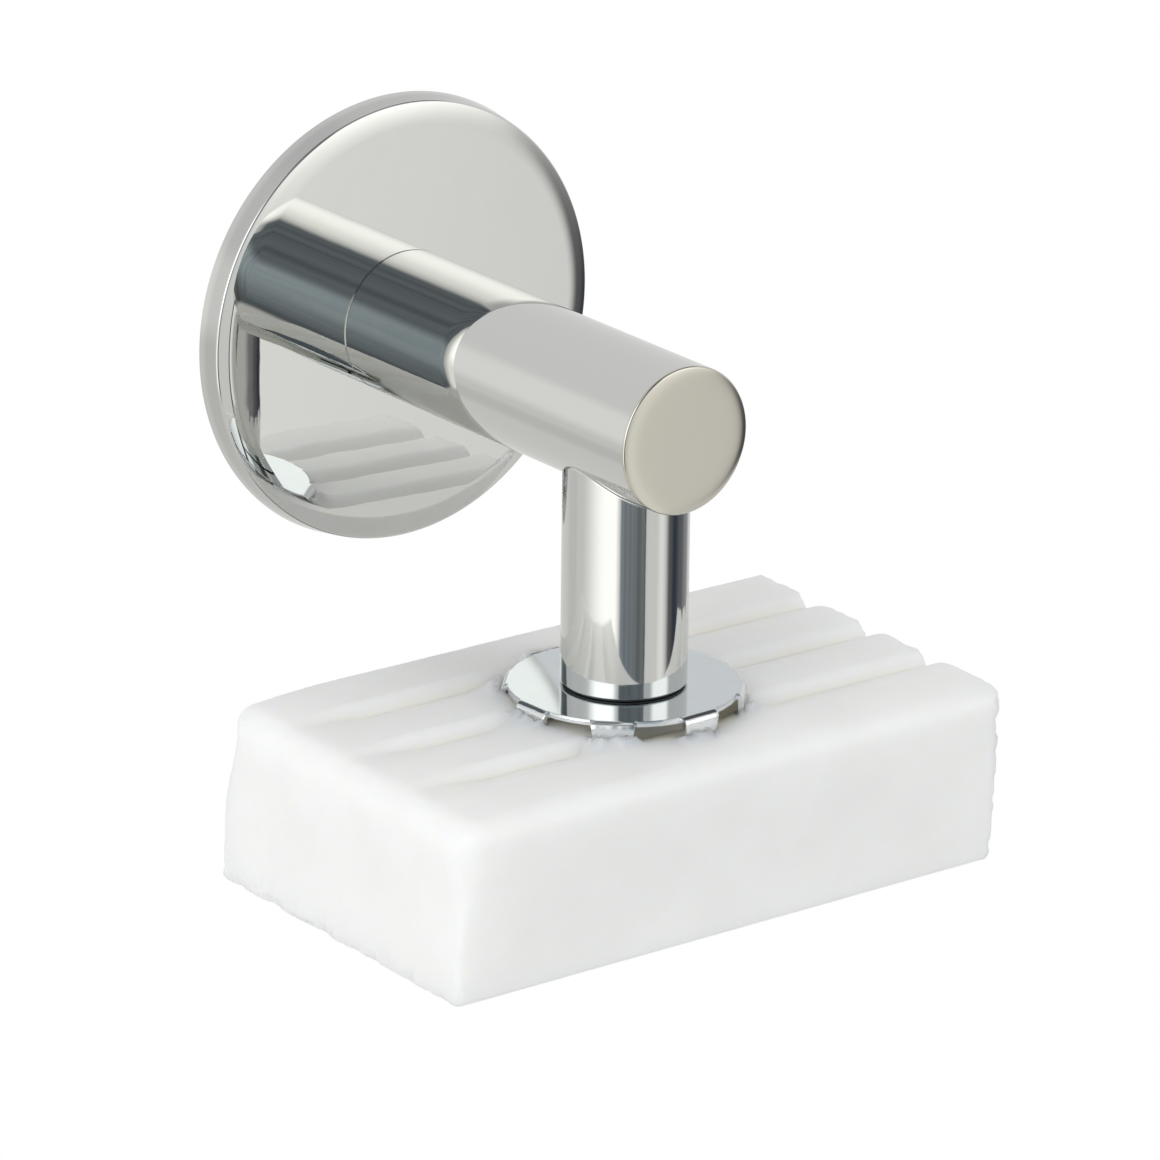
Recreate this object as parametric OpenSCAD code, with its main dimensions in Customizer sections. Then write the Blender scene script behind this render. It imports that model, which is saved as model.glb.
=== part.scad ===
// Magnetic soap holder. A round cover plate hides the wall fixing, a level arm stands out from it,
// and a short post hangs from the arm. A pot magnet in the post's lower end holds a thin claw disc,
// and the claws bite into the top of a ribbed bar of soap.
//
// Millimetres, +Z up. The wall is the plane y = 0 and the room is on its -Y side. The origin is
// where the arm's axis meets the wall. A depth is a distance from the wall, towards the room.

/* [Cover plate] */
// Outside diameter of the cover plate, at the wall
cover_d = 59; // [54:0.5:80]
// How far the side of the cover plate draws in between the wall and its corner
cover_draft = 0.45; // [0:0.05:1]
// Thickness of the cover plate's sheet
cover_sheet = 0.8; // [0.6:0.05:1.2]
// Radius of the tight corner between the side and the shoulder
corner_r = 0.35; // [0.1:0.05:0.4]
// Width of the crowned shoulder round the flat face
shoulder_w = 2.8; // [0.5:0.1:4]
// Slope of the shoulder where it meets the corner, in degrees
shoulder_slope = 12; // [10:1:30]

/* [Wall fixing] */
// Thickness of the foam adhesive pad
pad_t = 0.8; // [0.5:0.1:2]
// How far the edge of the pad stays inside the edge of the wall plate
pad_inset = 1; // [0.5:0.1:4]
// Thickness of the hidden wall plate
wall_plate_t = 2; // [1.9:0.1:4]
// Distance between the two wall screw holes
screw_spacing = 38; // [30:0.5:42]
// Diameter of the wall screw holes
screw_hole_d = 4.2; // [3.2:0.1:4.6]
// Diameter of the countersinks of the wall screw holes
screw_sink_d = 7; // [6:0.1:7.4]

/* [Arm] */
// Diameter of the arm
arm_d = 19; // [17.5:0.5:21]
// Distance from the wall to the arm's end face
arm_reach = 63; // [62:0.5:120]
// Radius of the edge of the arm's end face
arm_edge = 0.6; // [0.2:0.1:2]
// Chamfer of the arm's edge at the cover plate
arm_chamfer = 0.15; // [0.05:0.05:0.5]
// Diameter of the hub that the arm slides over
hub_d = 14; // [12.5:0.25:14.5]
// Length of the hub in front of the wall plate
hub_length = 13.5; // [12.5:0.5:30]
// Distance from the arm's wall end to the grub screw's axis
grub_inset = 6.25; // [6:0.25:7]
// Thread diameter of the grub screw
grub_d = 4; // [3:0.5:4]
// Key size of the grub screw
grub_key = 2; // [1.5:0.5:2]
// Depth of the hub's groove for the grub screw
groove_d = 1.3; // [0.9:0.1:1.6]
// Width of the floor of the hub's groove
groove_floor_w = 2; // [1.8:0.1:2.4]
// Chamfer of the hub's front end
hub_chamfer = 0.5; // [0.2:0.1:1]

/* [Hub fixing] */
// Thread diameter of the screw that holds the hub
hub_screw_d = 4; // [3:0.5:4]
// Head diameter of the screw that holds the hub
hub_screw_head_d = 7.5; // [6:0.1:7.6]
// Length of the screw that holds the hub
hub_screw_length = 12; // [8:1:12]
// Key size of the screw that holds the hub
hub_key = 2.5; // [2:0.5:2.5]
// Diameter of the pin that stops the hub from turning
pin_d = 2; // [1.5:0.1:2.4]
// Length of the pin inside the hub
pin_depth = 2.6; // [2:0.1:3]

/* [Post] */
// Outside diameter of the post
post_d = 16; // [15:0.25:16.5]
// Wall thickness of the post's tube
post_wall = 1; // [0.8:0.05:1.1]
// Distance from the arm's end face to the post's axis
post_inset = 12; // [9:0.5:12]
// Distance from the arm's axis down to the post's lower end
post_drop = 34.6; // [33.4:0.2:80]
// Length of the saddle plug below the arm
plug_length = 6.4; // [4:0.2:7]
// Thread diameter of the screw that holds the post
post_screw_d = 5; // [4:0.5:5]
// Head diameter of the screw that holds the post
post_screw_head_d = 8.5; // [7:0.1:9]
// Head height of the screw that holds the post
post_screw_head_h = 5; // [3:0.5:5]
// Length of the screw that holds the post, under its head
post_screw_length = 14; // [12:0.5:14]
// Key size of the screw that holds the post
post_key = 4; // [3:0.5:4]
// Thickness of the lock washer
washer_t = 1; // [0.6:0.1:1.2]
// How far the lock washer stands out round the screw's head
washer_lip = 0.45; // [0.3:0.05:1]

/* [Magnet] */
// Height of the magnet holder inside the post
holder_h = 10; // [9:0.2:11]
// Thickness of the holder's rim, which shows under the post
rim_t = 0.2; // [0.2:0.05:1]
// How far the holder's rim stays inside the post's outside
rim_inset = 0.3; // [0.1:0.05:0.6]
// Wall thickness of the holder round the magnet cup
holder_wall = 0.95; // [0.6:0.05:1.1]
// Height of the magnet cup
cup_h = 5; // [4:0.1:5.2]
// Wall thickness of the magnet cup
cup_wall = 0.9; // [0.6:0.05:1]
// Floor thickness of the magnet cup
cup_floor = 1.2; // [0.8:0.1:1.4]
// Thread diameter of the screw that the cup turns on
magnet_screw_d = 3; // [2:0.5:3]
// Head diameter of the screw that the cup turns on
magnet_screw_head_d = 5.4; // [4.5:0.1:5.4]
// Head height of the screw that the cup turns on
magnet_screw_head_h = 1.8; // [1:0.1:2]
// Length of the screw that the cup turns on, under its head
magnet_screw_length = 5.5; // [4:0.5:5.5]
// Key size of the screw that the cup turns on
magnet_key = 2; // [1.5:0.5:2.5]

/* [Claw disc] */
// How far the disc's round edge stands out past the fold lines
disc_lip = 0.4; // [0.35:0.05:1]
// Thickness of the claw disc's sheet
disc_t = 0.8; // [0.5:0.05:1]
// Distance of a claw's fold line from the disc's axis
fold_r = 14.3; // [13:0.1:16]
// Number of claws
claw_count = 8; // [6:1:10]
// Width of a claw at its fold
claw_w = 5.8; // [4:0.1:6]
// How much narrower a claw gets on each side towards its tip
claw_taper = 0.7; // [0:0.1:1]
// Height of a claw, from the disc's top to its tips
claw_h = 5; // [4:0.1:7]
// Outside radius of a claw's bend
claw_bend = 1; // [0.95:0.05:1.5]
// Height of the two teeth at a claw's tip
tooth_h = 1.4; // [0.5:0.1:1.5]
// How far the disc and the soap stand turned about the post's axis, in degrees
set_turn = 3; // [-45:1:45]

/* [Soap bar] */
// Length of the soap bar
soap_length = 87.6; // [60:0.2:95]
// Width of the soap bar
soap_width = 47.6; // [44:0.2:49]
// Height of the soap bar
soap_height = 23.7; // [12:0.1:40]
// How far the soap's middle lies off the post's axis, along its length
soap_shift = -0.6; // [-2:0.1:2]
// Gap between the disc and the soap's ridges, at the post's axis
soap_gap = 1.05; // [1:0.05:2]
// How far the soap hangs low at its front, in degrees
soap_pitch = 3; // [0:0.5:3]
// How far the soap hangs low at its right, in degrees
soap_roll = 1; // [0:0.5:1]
// Distance from the soap's back to its first groove
first_groove = 9.8; // [6:0.1:10]
// Distance between grooves
groove_step = 11.7; // [8:0.1:12]
// Number of grooves
groove_count = 3; // [1:1:3]
// Depth of a groove
soap_groove = 1.9; // [0.5:0.1:2.5]
// Width of a groove's steep side
steep_w = 1.9; // [1:0.1:3]
// Width of a groove's gentle side
gentle_w = 4.7; // [3:0.1:5]
// Radius of the soap's top front edge
soap_edge = 2.8; // [1:0.1:4]
// Radius of the soap's other long edges
soap_low_edge = 1.2; // [0.5:0.1:3]
// Clearance between a claw and the ring that it has cut in the soap
claw_gap = 0.35; // [0.3:0.05:0.6]

/* [Fits] */
// Clearance all round a piece that fits into another
fit_gap = 0.05; // [0.03:0.01:0.08]
// Gap between faces that seat on each other
seat_gap = 0.1; // [0.05:0.01:0.2]
// Gap round a piece that turns inside another
turn_gap = 0.3; // [0.25:0.05:0.4]
// Clearance of a screw in a plain hole
hole_gap = 0.25; // [0.15:0.05:0.4]

/* [Hidden] */

polished_steel = "#cfcfca";
plain_steel = "#a9abad";
zinc = "#c3cacd";
nickel = "#b9b6ae";
black_plastic = "#26282b";
black_foam = "#3a3a3a";
soap_white = "#f1f1ec";

// A small overlap, so that a cut runs clear through what it cuts
eps = 0.01;
// Room past the end of what goes into a blind hole
tip_room = 0.5;
// A key socket's depth, as a share of its key size
socket_share = 0.6;

cover_r = cover_d / 2;
corner_side_r = cover_r - cover_draft;
arm_r = arm_d / 2;
hub_r = hub_d / 2;
post_r = post_d / 2;
post_bore_r = post_r - post_wall;
grub_r = grub_d / 2;

// Depths, from the wall
cover_rim_depth = seat_gap;
wall_plate_depth = pad_t;
hub_depth = wall_plate_depth + wall_plate_t;
cover_back_depth = hub_depth + seat_gap;
face_depth = cover_back_depth + cover_sheet;
arm_depth = face_depth + fit_gap;
hub_end_depth = hub_depth + hub_length;
hub_bore_end_depth = hub_end_depth + tip_room;

wall_plate_r = corner_side_r - cover_sheet - hole_gap;
pad_hole_d = screw_hole_d + 4 * hole_gap;
screw_sink_h = (screw_sink_d - screw_hole_d) / 2;
pin_offset = (hub_screw_head_d / 2 + hub_r) / 2;
grub_depth = arm_depth + grub_inset;
post_depth = arm_reach - post_inset;
shoulder_r = shoulder_w / sin(shoulder_slope);
flat_r = corner_side_r - corner_r * (1 - sin(shoulder_slope)) - shoulder_w;

// Heights, from the arm's axis
saddle_r = arm_r + seat_gap;
plug_low = -saddle_r - plug_length;
post_screw_seat = plug_low - washer_t;
post_screw_top = post_screw_seat + post_screw_length;
post_low = -post_drop;
rim_low = post_low - rim_t;
disc_top = rim_low - seat_gap;
soap_top = disc_top - disc_t - soap_gap;
holder_r = post_bore_r - fit_gap;
cup_r = holder_r - holder_wall - turn_gap;
cup_bore_r = cup_r - cup_wall;
cup_top = rim_low + cup_h;
pocket_top = cup_top + turn_gap;
magnet_screw_seat = cup_top - cup_floor - fit_gap;
magnet_bore = magnet_screw_head_d + 2 * turn_gap;

claw_face_r = fold_r + claw_bend;
claw_back_r = claw_face_r - disc_t;
disc_r = fold_r + disc_lip;

// Points on an arc about c, from angle a0 to angle a1
function arc(c, r, a0, a1, n = 8) =
    [for (i = [0:n]) let (a = a0 + (a1 - a0) * i / n) c + r * [cos(a), sin(a)]];

// Turns a shape made along +Z so that it stands out from the wall, starting at a depth
module along_arm(depth = 0) {
    translate([0, -depth, 0]) rotate([90, 0, 0]) children();
}

// Puts a shape on the post's axis, at a height
module at_post(z = 0) {
    translate([0, -post_depth, z]) children();
}

// The two places of the wall screws
module at_wall_screws(depth) {
    for (side = [-1, 1])
        translate([side * screw_spacing / 2, 0, 0]) along_arm(depth) children();
}

// A countersunk screw's shape, its flat head at z = 0 and its shank along +Z
module countersunk(head_r, shank_r, length) {
    cylinder(h = head_r - shank_r, r1 = head_r, r2 = shank_r, $fn = 48);
    cylinder(h = length, r = shank_r, $fn = 48);
}

// A six-sided key socket, its mouth at z = 0
module key_socket(key) {
    translate([0, 0, -eps])
        cylinder(h = socket_share * key + eps, r = key / 2 / cos(30), $fn = 6);
}

// The space that the arm takes, with a gap, for what is coped to it
module arm_space() {
    along_arm() cylinder(h = arm_reach, r = saddle_r, $fn = 96);
}

// Foam pad that sticks the wall plate to the wall
module adhesive_pad() {
    color(black_foam) difference() {
        along_arm() cylinder(h = pad_t, r = wall_plate_r - pad_inset, $fn = 128);
        at_wall_screws(-eps) cylinder(h = pad_t + 2 * eps, d = pad_hole_d, $fn = 48);
    }
}

// Hidden plate behind the cover, with countersunk holes for two wall screws
module wall_plate() {
    color(plain_steel) difference() {
        along_arm(wall_plate_depth) cylinder(h = wall_plate_t, r = wall_plate_r, $fn = 128);
        at_wall_screws(wall_plate_depth - eps)
            cylinder(h = wall_plate_t + 2 * eps, d = screw_hole_d, $fn = 48);
        at_wall_screws(hub_depth - screw_sink_h)
            cylinder(h = screw_sink_h + eps, r1 = screw_hole_d / 2, r2 = screw_sink_d / 2 + eps,
                     $fn = 48);
        along_arm(wall_plate_depth - eps)
            countersunk(hub_screw_head_d / 2 + fit_gap, hub_screw_d / 2 + fit_gap,
                        wall_plate_t + 2 * eps);
        hub_pin_shape(0, fit_gap);
    }
}

// Turned hub that the arm slides over, with a groove for the grub screw
module hub() {
    groove_z = grub_depth - hub_depth;
    groove_half = groove_d + groove_floor_w / 2;
    floor_r = hub_r - groove_d;
    color(plain_steel) difference() {
        along_arm(hub_depth) rotate_extrude($fn = 96) polygon([
            [0, 0], [hub_r, 0],
            [hub_r, groove_z - groove_half], [floor_r, groove_z - groove_half + groove_d],
            [floor_r, groove_z + groove_half - groove_d], [hub_r, groove_z + groove_half],
            [hub_r, hub_length - hub_chamfer], [hub_r - hub_chamfer, hub_length],
            [0, hub_length]
        ]);
        along_arm(hub_depth - eps)
            cylinder(h = hub_screw_length - wall_plate_t + tip_room,
                     r = hub_screw_d / 2 + fit_gap, $fn = 48);
        hub_pin_shape(0, fit_gap);
    }
}

// Countersunk screw that holds the hub to the wall plate from behind
module hub_screw() {
    color(plain_steel) difference() {
        along_arm(wall_plate_depth)
            countersunk(hub_screw_head_d / 2, hub_screw_d / 2, hub_screw_length);
        along_arm(wall_plate_depth) key_socket(hub_key);
    }
}

// The pin's shape from a depth on, with a gap for its holes
module hub_pin_shape(start, gap) {
    translate([0, 0, pin_offset]) along_arm(start)
        cylinder(h = hub_depth + pin_depth + gap - start, r = pin_d / 2 + gap, $fn = 32);
}

// Pin that stops the hub from turning on the wall plate
module hub_pin() {
    color(plain_steel) hub_pin_shape(wall_plate_depth + seat_gap, 0);
}

// Pressed cover plate: a drawn-in side, a tight corner, a crowned shoulder and a flat face
module cover_plate() {
    shoulder_c = [flat_r, face_depth - shoulder_r];
    shoulder_end = shoulder_c + shoulder_r * [sin(shoulder_slope), cos(shoulder_slope)];
    corner_c = shoulder_end - corner_r * [sin(shoulder_slope), cos(shoulder_slope)];
    hole_r = hub_r + hole_gap;
    color(polished_steel) along_arm() rotate_extrude($fn = 180) polygon(concat(
        [[hole_r, cover_back_depth], [hole_r, face_depth]],
        arc(shoulder_c, shoulder_r, 90, 90 - shoulder_slope + 1, 8),
        arc(corner_c, corner_r, 90 - shoulder_slope, 0, 5),
        [[cover_r, cover_rim_depth], [cover_r - cover_sheet, cover_rim_depth],
         [corner_side_r - cover_sheet, cover_back_depth]]
    ));
}

// Polished arm: a solid bar, bored at the wall end for the hub
module arm() {
    edge_c = [arm_r - arm_edge, arm_reach - arm_edge];
    color(polished_steel) difference() {
        along_arm() rotate_extrude($fn = 128) polygon(concat(
            [[0, arm_depth], [arm_r - arm_chamfer, arm_depth], [arm_r, arm_depth + arm_chamfer]],
            arc(edge_c, arm_edge, 0, 90, 6),
            [[0, arm_reach]]
        ));
        along_arm(arm_depth - eps)
            cylinder(h = hub_bore_end_depth - arm_depth, r = hub_r + fit_gap, $fn = 96);
        translate([0, -grub_depth, -arm_r - eps])
            cylinder(h = arm_r - hub_r + tip_room, r = grub_r + fit_gap, $fn = 48);
        at_post(-arm_r - eps)
            cylinder(h = arm_r + post_screw_top + tip_room, r = post_screw_d / 2 + fit_gap,
                     $fn = 48);
    }
}

// Grub screw under the arm, whose cone pulls the arm against the cover plate
module grub_screw() {
    tip_r = 0.4 * groove_floor_w;
    cone_h = grub_r - tip_r;
    tip_z = groove_d - hub_r - seat_gap;
    head_z = seat_gap - arm_r;
    color(plain_steel) translate([0, -grub_depth, 0]) difference() {
        union() {
            translate([0, 0, head_z])
                cylinder(h = tip_z - cone_h - head_z, r = grub_r, $fn = 48);
            translate([0, 0, tip_z - cone_h])
                cylinder(h = cone_h, r1 = grub_r, r2 = tip_r, $fn = 48);
        }
        translate([0, 0, head_z]) key_socket(grub_key);
    }
}

// Polished post: a tube coped to the underside of the arm
module post_tube() {
    color(polished_steel) difference() {
        at_post(post_low) cylinder(h = post_drop, r = post_r, $fn = 128);
        at_post(post_low - eps) cylinder(h = post_drop + 2 * eps, r = post_bore_r, $fn = 128);
        arm_space();
    }
}

// Plug in the top of the post, coped to the arm as the post is
module saddle_plug() {
    color(plain_steel) difference() {
        at_post(plug_low) cylinder(h = -plug_low, r = holder_r, $fn = 96);
        at_post(plug_low - eps)
            cylinder(h = plug_length + saddle_r, r = post_screw_d / 2 + hole_gap, $fn = 48);
        arm_space();
    }
}

// Lock washer under the post screw's head
module lock_washer() {
    color(plain_steel) at_post(post_screw_seat + fit_gap) difference() {
        cylinder(h = washer_t - 2 * fit_gap, r = post_screw_head_d / 2 + washer_lip, $fn = 64);
        translate([0, 0, -eps])
            cylinder(h = washer_t, r = post_screw_d / 2 + 2 * fit_gap, $fn = 48);
    }
}

// Socket screw that pulls the post up against the arm
module post_screw() {
    color(plain_steel) at_post(post_screw_seat) difference() {
        union() {
            translate([0, 0, -post_screw_head_h])
                cylinder(h = post_screw_head_h, d = post_screw_head_d, $fn = 64);
            cylinder(h = post_screw_length, d = post_screw_d, $fn = 48);
        }
        translate([0, 0, -post_screw_head_h]) key_socket(post_key);
    }
}

// Plastic holder in the lower end of the post, with a rim that shows as a dark line
module magnet_holder() {
    color(black_plastic) at_post() difference() {
        union() {
            translate([0, 0, rim_low]) cylinder(h = rim_t, r = post_r - rim_inset, $fn = 128);
            translate([0, 0, post_low]) cylinder(h = holder_h, r = holder_r, $fn = 96);
        }
        translate([0, 0, rim_low - eps])
            cylinder(h = pocket_top - rim_low + eps, r = cup_r + turn_gap, $fn = 96);
        translate([0, 0, pocket_top - eps])
            cylinder(h = magnet_screw_seat + magnet_screw_length + tip_room - pocket_top,
                     r = magnet_screw_d / 2 + fit_gap, $fn = 48);
    }
}

// Screw that holds the magnet cup in its holder and that the cup turns on
module magnet_screw() {
    color(plain_steel) at_post(magnet_screw_seat) difference() {
        union() {
            translate([0, 0, -magnet_screw_head_h])
                cylinder(h = magnet_screw_head_h, d = magnet_screw_head_d, $fn = 64);
            cylinder(h = magnet_screw_length, d = magnet_screw_d, $fn = 48);
        }
        translate([0, 0, -magnet_screw_head_h]) key_socket(magnet_key);
    }
}

// Steel cup round the ring magnet, open downwards
module magnet_cup() {
    color(nickel) at_post() difference() {
        translate([0, 0, rim_low]) cylinder(h = cup_h, r = cup_r, $fn = 96);
        translate([0, 0, rim_low - eps])
            cylinder(h = cup_h - cup_floor + eps, r = cup_bore_r, $fn = 96);
        translate([0, 0, rim_low])
            cylinder(h = cup_h + eps, r = magnet_screw_d / 2 + fit_gap, $fn = 48);
    }
}

// Ring magnet in its cup, a little above the cup's edge
module ring_magnet() {
    color(nickel) at_post(rim_low + seat_gap) difference() {
        cylinder(h = cup_h - cup_floor - seat_gap - fit_gap, r = cup_bore_r - fit_gap, $fn = 96);
        translate([0, 0, -eps]) cylinder(h = cup_h, d = magnet_bore, $fn = 64);
    }
}

// One claw: the disc's sheet folded down, narrowing to two teeth
module claw() {
    half = claw_w / 2;
    tip_half = half - claw_taper;
    intersection() {
        rotate([90, 0, 0]) linear_extrude(height = claw_w, center = true) {
            translate([fold_r - disc_t, -disc_t]) square([disc_t, disc_t]);
            translate([claw_back_r, -claw_h]) square([disc_t, claw_h - claw_bend]);
            translate([fold_r, -claw_bend]) intersection() {
                difference() {
                    circle(r = claw_bend, $fn = 48);
                    circle(r = claw_bend - disc_t, $fn = 32);
                }
                square(claw_bend);
            }
        }
        rotate([90, 0, 90]) linear_extrude(height = claw_face_r + eps) polygon([
            [-half, eps], [-half, -disc_t], [-tip_half, tooth_h - claw_h],
            [-tip_half / 2, -claw_h], [0, tooth_h - claw_h], [tip_half / 2, -claw_h],
            [tip_half, tooth_h - claw_h], [half, -disc_t], [half, eps]
        ]);
    }
}

// Thin disc that the magnet holds: a flat is cut at each claw's fold
module claw_disc() {
    step = 360 / claw_count;
    color(zinc) at_post(disc_top) rotate([0, 0, set_turn]) {
        intersection() {
            translate([0, 0, -disc_t]) cylinder(h = disc_t, r = disc_r, $fn = 128);
            rotate([0, 0, step / 2]) translate([0, 0, -disc_t])
                cylinder(h = disc_t, r = fold_r / cos(step / 2), $fn = claw_count);
        }
        for (i = [0 : claw_count - 1]) rotate([0, 0, i * step]) claw();
    }
}

// A side of a groove, w wide and rounded over, from t = 0 at its floor to t = 1 at the ridge
function groove_side(y, w, t) = [y + w * t, soap_groove * (sin(90 * t) - 1)];

// A groove's points: its steep side towards the back, its floor and its gentle side
function groove_points(y, n = 4) = concat(
    [for (k = [n : -1 : 0]) groove_side(y, steep_w, k / n)],
    [for (k = [1 : n]) groove_side(y, -gentle_w, k / n)]
);

// Outline of the soap's end: y runs to the back, and z runs up from the ridges
function soap_outline() = let (
        back = soap_width / 2,
        low = -soap_height + soap_low_edge
    ) concat(
        arc([back - soap_low_edge, low], soap_low_edge, -90, 0, 5),
        arc([back - soap_low_edge, -soap_low_edge], soap_low_edge, 0, 90, 5),
        [for (i = [0 : groove_count - 1])
            each groove_points(back - first_groove - i * groove_step)],
        arc([-back + soap_edge, -soap_edge], soap_edge, 90, 180),
        arc([-back + soap_low_edge, low], soap_low_edge, 180, 270, 5)
    );

// Ribbed bar of soap, with the ring that the claws have cut in its top
module soap_bar() {
    ring_out = norm([claw_face_r, claw_w / 2]) + claw_gap;
    ring_in = claw_back_r - claw_gap;
    color(soap_white) difference() {
        at_post(soap_top) rotate([0, 0, set_turn]) rotate([soap_pitch, 0, 0])
            rotate([0, soap_roll, 0]) translate([soap_shift, 0, 0])
                rotate([90, 0, 90]) linear_extrude(height = soap_length, center = true)
                    polygon(soap_outline());
        at_post(disc_top - claw_h - claw_gap) difference() {
            cylinder(h = claw_h + soap_edge, r = ring_out, $fn = 128);
            translate([0, 0, -eps])
                cylinder(h = claw_h + soap_edge + 2 * eps, r = ring_in, $fn = 128);
        }
    }
}

adhesive_pad();
wall_plate();
hub();
hub_screw();
hub_pin();
cover_plate();
arm();
grub_screw();
post_tube();
saddle_plug();
lock_washer();
post_screw();
magnet_holder();
magnet_screw();
magnet_cup();
ring_magnet();
claw_disc();
soap_bar();
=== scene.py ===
"""Looks of the magnetic soap holder: polished cover plate, arm and post, a zinc claw disc and a bar of soap."""

import math

import bmesh
import bpy
import numpy as np
from mathutils import Matrix, Vector, noise


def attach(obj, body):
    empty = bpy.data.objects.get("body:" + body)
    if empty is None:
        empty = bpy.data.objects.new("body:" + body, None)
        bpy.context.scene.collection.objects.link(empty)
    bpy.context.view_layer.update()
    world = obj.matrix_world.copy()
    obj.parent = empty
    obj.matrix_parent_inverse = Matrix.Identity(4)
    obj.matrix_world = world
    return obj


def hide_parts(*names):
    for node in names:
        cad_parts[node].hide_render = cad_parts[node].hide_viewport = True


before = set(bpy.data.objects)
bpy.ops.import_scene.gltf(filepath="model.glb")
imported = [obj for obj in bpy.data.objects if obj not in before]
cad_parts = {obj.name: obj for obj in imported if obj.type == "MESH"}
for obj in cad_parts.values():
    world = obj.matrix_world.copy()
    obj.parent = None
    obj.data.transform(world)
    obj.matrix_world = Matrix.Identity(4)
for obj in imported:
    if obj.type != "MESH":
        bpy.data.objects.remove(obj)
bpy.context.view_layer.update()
MM = 0.001

# Sizes in millimetres, as the solids have them. Depths are distances from the wall.
FACE_DEPTH, RIM_DEPTH = 3.7, 0.1
COVER_R, COVER_DRAFT, COVER_SHEET = 29.5, 0.45, 0.8
CORNER_R, SHOULDER_W, SHOULDER_SLOPE = 0.35, 2.8, math.radians(12)
COVER_HOLE_R, COVER_BACK = 7.25, 2.9
ARM_R, ARM_START, ARM_REACH, ARM_CHAMFER = 9.5, 3.75, 63.0, 0.15
HUB_BORE_R, HUB_BORE_END = 7.05, 16.8
GRUB_HOLE_R, GRUB_DEPTH, GRUB_DRILL = 2.05, 10.0, 6.0
POST_R, POST_BORE_R, POST_DEPTH, POST_LOW, SADDLE_R = 8.0, 7.0, 51.0, -34.6, 9.6
DISC_TOP, DISC_T, DISC_R, FOLD_R, CLAW_BEND = -34.9, 0.8, 14.7, 14.3, 1.0
CLAWS, CLAW_W, CLAW_TAPER, CLAW_H, TOOTH_H = 8, 5.8, 0.7, 5.0, 1.4
SET_TURN = math.radians(3)
SOAP_L, SOAP_W, SOAP_H, SOAP_SHIFT, SOAP_TOP = 87.6, 47.6, 23.7, -0.6, -36.75
SOAP_PITCH, SOAP_ROLL = math.radians(3), math.radians(1)
FIRST_GROOVE, GROOVE_STEP, GROOVES, GROOVE_D, STEEP_W, GENTLE_W = 9.8, 11.7, 3, 1.9, 1.9, 4.7
SOAP_EDGE, SOAP_LOW_EDGE = 2.8, 1.2

# Sizes that only this file has: worn edges, the crowned end face, the soap's left end, where the grooves fade out
# and the top falls off, and how finely round pieces are divided
ARM_EDGE, CROWN_SLOPE, CROWN_POWER, CROWN_STEPS = 0.28, math.radians(9), 14, 30
POST_EDGE, DISC_EDGE = 0.25, 0.1
FADE_LENGTH, GROOVE_LEFT, TOP_FALL = 15, 0.08, 0.9
COVER_STEPS, ROUND_STEPS = 240, 256

# Tones: each as the light falls on it straight, without any reflection
# the arm's end tone is a painted warm reflection, and the plate side tone is painted shade
STEEL, ARM_END_PAINTED_REFLECTION, PLATE_SIDE_PAINTED_SHADE = (0.66, 0.665, 0.643), (0.59, 0.57, 0.505), (0.56, 0.56, 0.545)
ZINC_DARKER, ZINC_LIGHTER, ZINC_FOLDED = (0.6, 0.64, 0.66), (0.65, 0.69, 0.71), (0.76, 0.78, 0.79)
SOAP_DARKER, SOAP_LIGHTER = (0.885, 0.885, 0.872), (0.91, 0.91, 0.9)
# the groove and under-rim tones are painted shade: yellower where the soap lies in shade
SOAP_GROOVE_SHADE, SOAP_UNDER_RIM_SHADE = (0.93, 0.915, 0.85), (0.93, 0.88, 0.7)

# Camera: azimuth, elevation and roll of the photograph, its focal length in its own pixels, and its distance
AZIMUTH, ELEVATION, ROLL = math.radians(-36.843), math.radians(19.377), math.radians(0.674)
PHOTO_SIDE, FOCAL, DISTANCE, ACROSS, UPWARDS = 1160, 8000.0, 1029.1, -24.56, 34.16
SENSOR, NEAREST, FARTHEST = 36, 0.01, 50

# The studio, as the polished metal sees it: a colour, a range of turns and a range of rises for each card. A turn is
# in degrees to the right of the camera as the holder sees it, and a rise is in degrees above the level. A card fades
# in over the first two numbers of a range and out over the last two. The last five get their tones in studio_world.
RIGHT_WALL = (0.79, 0.79, 0.775), (38, 44, 90, 110), (-60, -50, 8, 20)
FACE_CARD = (1.0, 1.0, 0.98), (57, 67, 70, 77), (-60, -50, 8, 20)
LEFT_WALL = (0.95, 0.95, 0.935), (-112, -104, -84, -70), (-14, -2, 14, 26)
LEFT_SHADE = (0.67, 0.67, 0.65), (-130, -118, -102, -95), (-31, -25, -21, -15)
LEFT_SOFT_BOX = (1.5, 1.5, 1.48), (-88, -34, -19, -9), (-34, -28, 44, 52)
LEFT_BOX_MIDDLE = (2.3, 2.3, 2.3), (-72, -46, -24, -14), (-8, 10, 36, 46)
RIGHT_SOFT_BOX = (1.84, 1.84, 1.8), (46, 58, 80, 92), (-18, 17, 20, 50)
BEHIND_RIGHT = (0.1, 0.1, 0.105), (112, 124, 160, 172), (36, 44, 66, 76)
DARK_ROOM = (-10.5, -7.5, 35, 38), (-31, -27, 60, 66)
DARK_ROOM_RIGHT = (30, 33, 44, 51), (20, 28, 60, 66)
ROOM_CORNER = (8, 24, 35, 38), (-31, -27, -8, 0)
BLUISH_PATCH = (-10.5, -7.5, 33, 37), (-28, 5, 9, 21)
DARK_SCREEN = (75, 87, 138, 156), (-27, -21, -18, 7)

# Floor: half its width, and its height, in metres
FLOOR_HALF, FLOOR_Z = 8, -0.5

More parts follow.
